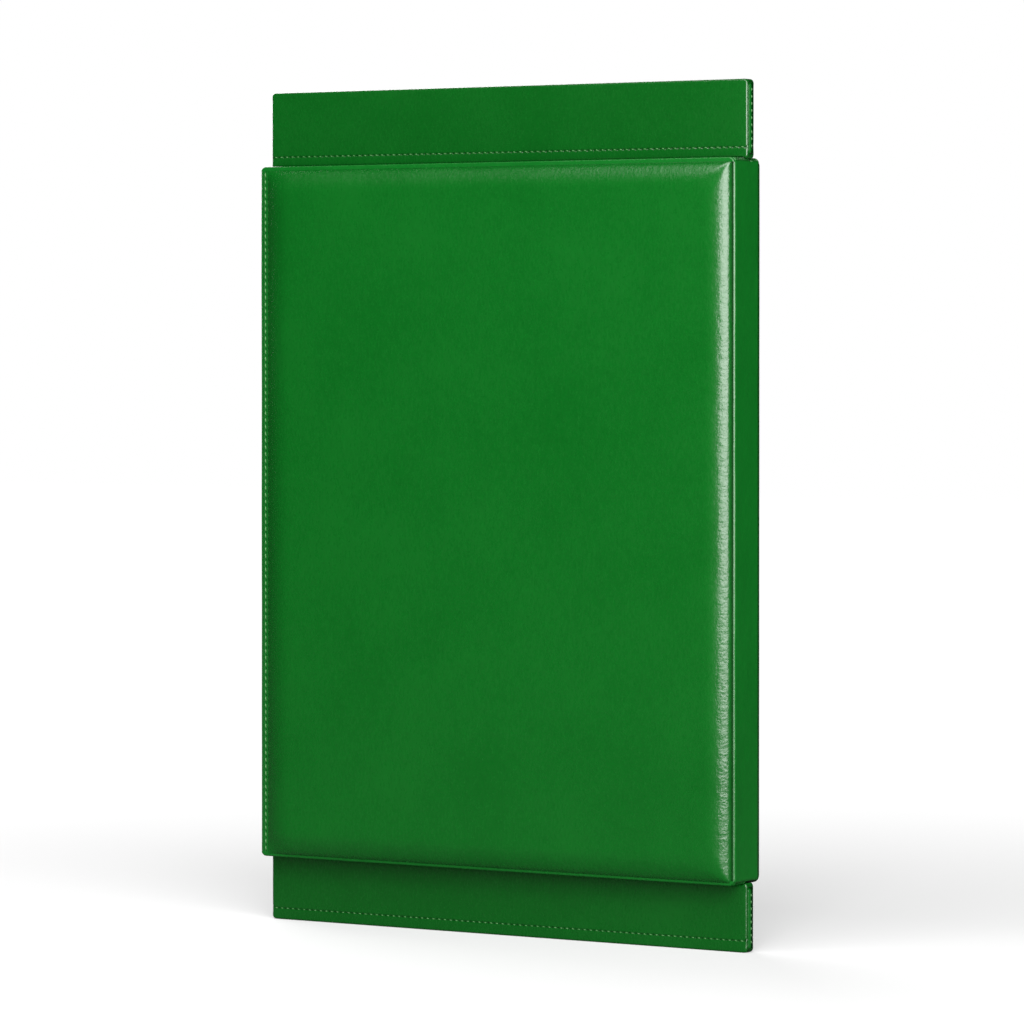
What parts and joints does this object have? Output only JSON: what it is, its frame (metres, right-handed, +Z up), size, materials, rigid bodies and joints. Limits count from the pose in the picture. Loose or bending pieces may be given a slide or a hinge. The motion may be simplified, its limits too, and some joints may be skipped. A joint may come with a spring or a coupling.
{
  "type": "card deck box",
  "caption": "Flat padded leather card deck box: a sleeve open at top and bottom, with a divided card tray sliding out of each mouth on a leather-wrapped pull bar.",
  "frame": {"origin": "on the floor, below the centre of the sleeve, where the box stands on its lower bar", "axes": "+X to the right across the width seen from the front, +Y from the front to the back, +Z up along the way the trays slide"},
  "size_m": [0.264, 0.0318, 0.3969],
  "materials": {
    "green_leather": "smooth finished leather, semi-gloss, fine pebble grain",
    "green_thread": "waxed polyester topstitch thread",
    "suede": "short-nap microsuede lining",
    "foam": "soft closed-cell padding",
    "greyboard": "dense bookbinder board, dyed green",
    "wood_strip": "sanded hardwood strip"
  },
  "bodies": {
    "sleeve": {"sleeve_front_board": "greyboard", "sleeve_back_board": "greyboard", "sleeve_left_board": "greyboard", "sleeve_right_board": "greyboard", "centre_partition": "greyboard", "front_lining": "suede", "back_lining": "suede", "side_linings": "suede", "front_foam_pad": "foam", "back_foam_pad": "foam", "front_cover": "green_leather", "back_cover": "green_leather", "left_side_cover": "green_leather", "right_side_cover": "green_leather", "upper_mouth_binding": "green_leather", "lower_mouth_binding": "green_leather", "left_edge_thread": "green_thread"},
    "upper_drawer": {"upper_tray_floor": "greyboard", "upper_tray_side_walls": "greyboard", "upper_tray_inner_wall": "greyboard", "upper_mouth_wall": "wood_strip", "upper_mouth_facing": "green_leather", "upper_tray_lining": "suede", "upper_bay_dividers": "greyboard", "upper_bar_core": "wood_strip", "upper_bar_cover": "green_leather", "upper_bar_end_caps": "green_leather", "upper_bar_thread": "green_thread"},
    "lower_drawer": {"lower_tray_floor": "greyboard", "lower_tray_side_walls": "greyboard", "lower_tray_inner_wall": "greyboard", "lower_mouth_wall": "wood_strip", "lower_mouth_facing": "green_leather", "lower_tray_lining": "suede", "lower_bay_dividers": "greyboard", "lower_bar_core": "wood_strip", "lower_bar_cover": "green_leather", "lower_bar_end_caps": "green_leather", "lower_bar_thread": "green_thread"}
  },
  "joints": [
    {"name": "upper_drawer_slide", "type": "slide", "parent": "sleeve", "child": "upper_drawer", "axis": [0, 0, 1], "range_m": [0, 0.1654]},
    {"name": "lower_drawer_slide", "type": "slide", "parent": "sleeve", "child": "lower_drawer", "axis": [0, 0, -1], "range_m": [0, 0.1654]}
  ]
}
